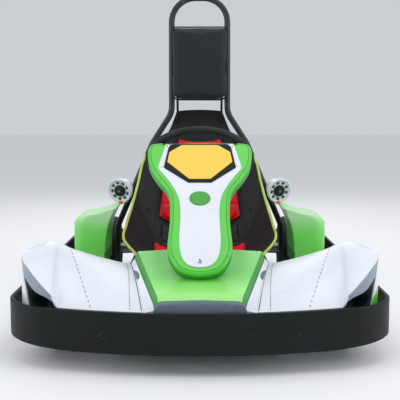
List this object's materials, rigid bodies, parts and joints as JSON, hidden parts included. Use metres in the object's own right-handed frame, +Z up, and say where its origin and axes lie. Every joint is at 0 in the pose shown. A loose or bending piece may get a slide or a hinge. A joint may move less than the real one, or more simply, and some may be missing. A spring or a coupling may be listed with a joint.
{
  "type": "electric go-kart with bumper belt",
  "caption": "Single-seat electric kart for an amusement track: bumper belt all round, moulded nose and wings, bucket seat, roll hoop with head pad, steered front wheels and a live rear axle.",
  "frame": {"origin": "on the floor, under the middle of the bumper belt", "axes": "+Z up, +Y towards the back of the kart, +X towards its left side"},
  "size_m": [1.16, 1.72, 1.2304],
  "materials": {
    "belt_black": "moulded, scuffed black",
    "frame_paint": "black powder coat",
    "tray_metal": "plain sheet",
    "lime_plastic": "glossy lime green",
    "white_plastic": "glossy cool white",
    "yellow_plastic": "glossy yellow",
    "slate_plastic": "slate grey",
    "seat_black": "black vinyl",
    "seat_red": "red padded cloth",
    "lamp_chrome": "bright chrome",
    "rim_aluminium": "cast, machined lip",
    "tyre_rubber": "slick tyre rubber",
    "steel_parts": "machined steel",
    "grip_rubber": "soft black grip",
    "motor_grey": "dark grey casing",
    "caliper_red": "red enamel"
  },
  "bodies": {
    "chassis": {"front_bumper_belt": "belt_black", "rear_bumper_belt": "belt_black", "left_bumper_belt": "belt_black", "right_bumper_belt": "belt_black", "front_bumper_bar": "frame_paint", "rear_bumper_bar": "frame_paint", "left_side_bar": "frame_paint", "right_side_bar": "frame_paint", "main_frame": "frame_paint", "left_kingpin_yoke": "frame_paint", "left_axle_hanger": "frame_paint", "left_pod_bracket": "frame_paint", "right_kingpin_yoke": "frame_paint", "right_axle_hanger": "frame_paint", "right_pod_bracket": "frame_paint", "floor_tray": "tray_metal", "brake_caliper": "caliper_red", "column_support": "frame_paint", "column_foot_bearing": "frame_paint", "column_fairing": "lime_plastic", "fairing_face": "white_plastic", "number_panel": "yellow_plastic", "nose_pad": "slate_plastic", "nose_panel": "lime_plastic", "left_front_wing": "white_plastic", "right_front_wing": "white_plastic", "seat_shell": "seat_black", "seat_cushion": "seat_red", "seat_back_pad": "seat_red", "battery_box": "motor_grey", "roll_hoop": "frame_paint", "head_pad": "seat_black", "left_side_pod": "lime_plastic", "left_lamp": "lamp_chrome", "right_side_pod": "lime_plastic", "right_lamp": "lamp_chrome", "motor": "motor_grey", "brake_pedal": "frame_paint", "accelerator_pedal": "frame_paint"},
    "steering": {"steering_column": "steel_parts", "steering_wheel": "grip_rubber"},
    "left_steer": {"left_knuckle": "steel_parts"},
    "right_steer": {"right_knuckle": "steel_parts"},
    "left_rod": {"left_tie_rod": "steel_parts"},
    "right_rod": {"right_tie_rod": "steel_parts"},
    "left_front_wheel": {"left_front_rim": "rim_aluminium", "left_front_tyre": "tyre_rubber"},
    "right_front_wheel": {"right_front_rim": "rim_aluminium", "right_front_tyre": "tyre_rubber"},
    "rear_axle_set": {"rear_axle": "steel_parts", "brake_disc": "steel_parts", "left_rear_rim": "rim_aluminium", "left_rear_tyre": "tyre_rubber", "right_rear_rim": "rim_aluminium", "right_rear_tyre": "tyre_rubber"}
  },
  "joints": [
    {"name": "steering_turn", "type": "hinge", "parent": "chassis", "child": "steering", "pos_m": [0, -0.44029, 0.15045], "axis": [0, 0.6157, 0.788], "range_deg": [-50, 50]},
    {"name": "left_wheel_steer", "type": "hinge", "parent": "chassis", "child": "left_steer", "pos_m": [0.33, -0.5, 0.127], "axis": [0, 0, 1], "range_deg": [-25, 25]},
    {"name": "left_rod_pivot", "type": "hinge", "parent": "left_steer", "child": "left_rod", "pos_m": [0.33, -0.41, 0.108], "axis": [0, 0, 1], "range_deg": [-25, 25]},
    {"name": "left_front_wheel_spin", "type": "hinge", "parent": "left_steer", "child": "left_front_wheel", "pos_m": [0.41, -0.5, 0.127], "axis": [1, 0, 0], "continuous": true},
    {"name": "right_wheel_steer", "type": "hinge", "parent": "chassis", "child": "right_steer", "pos_m": [-0.33, -0.5, 0.127], "axis": [0, 0, 1], "range_deg": [-25, 25]},
    {"name": "right_rod_pivot", "type": "hinge", "parent": "right_steer", "child": "right_rod", "pos_m": [-0.33, -0.41, 0.108], "axis": [0, 0, 1], "range_deg": [-25, 25]},
    {"name": "right_front_wheel_spin", "type": "hinge", "parent": "right_steer", "child": "right_front_wheel", "pos_m": [-0.41, -0.5, 0.127], "axis": [1, 0, 0], "continuous": true},
    {"name": "rear_axle_spin", "type": "hinge", "parent": "chassis", "child": "rear_axle_set", "pos_m": [0, 0.52, 0.1395], "axis": [1, 0, 0], "continuous": true}
  ],
  "couplings": [
    {"joint": "left_wheel_steer", "follows": "steering_turn", "ratio": 0.5},
    {"joint": "left_rod_pivot", "follows": "steering_turn", "ratio": -0.5},
    {"joint": "right_wheel_steer", "follows": "steering_turn", "ratio": 0.5},
    {"joint": "right_rod_pivot", "follows": "steering_turn", "ratio": -0.5}
  ]
}
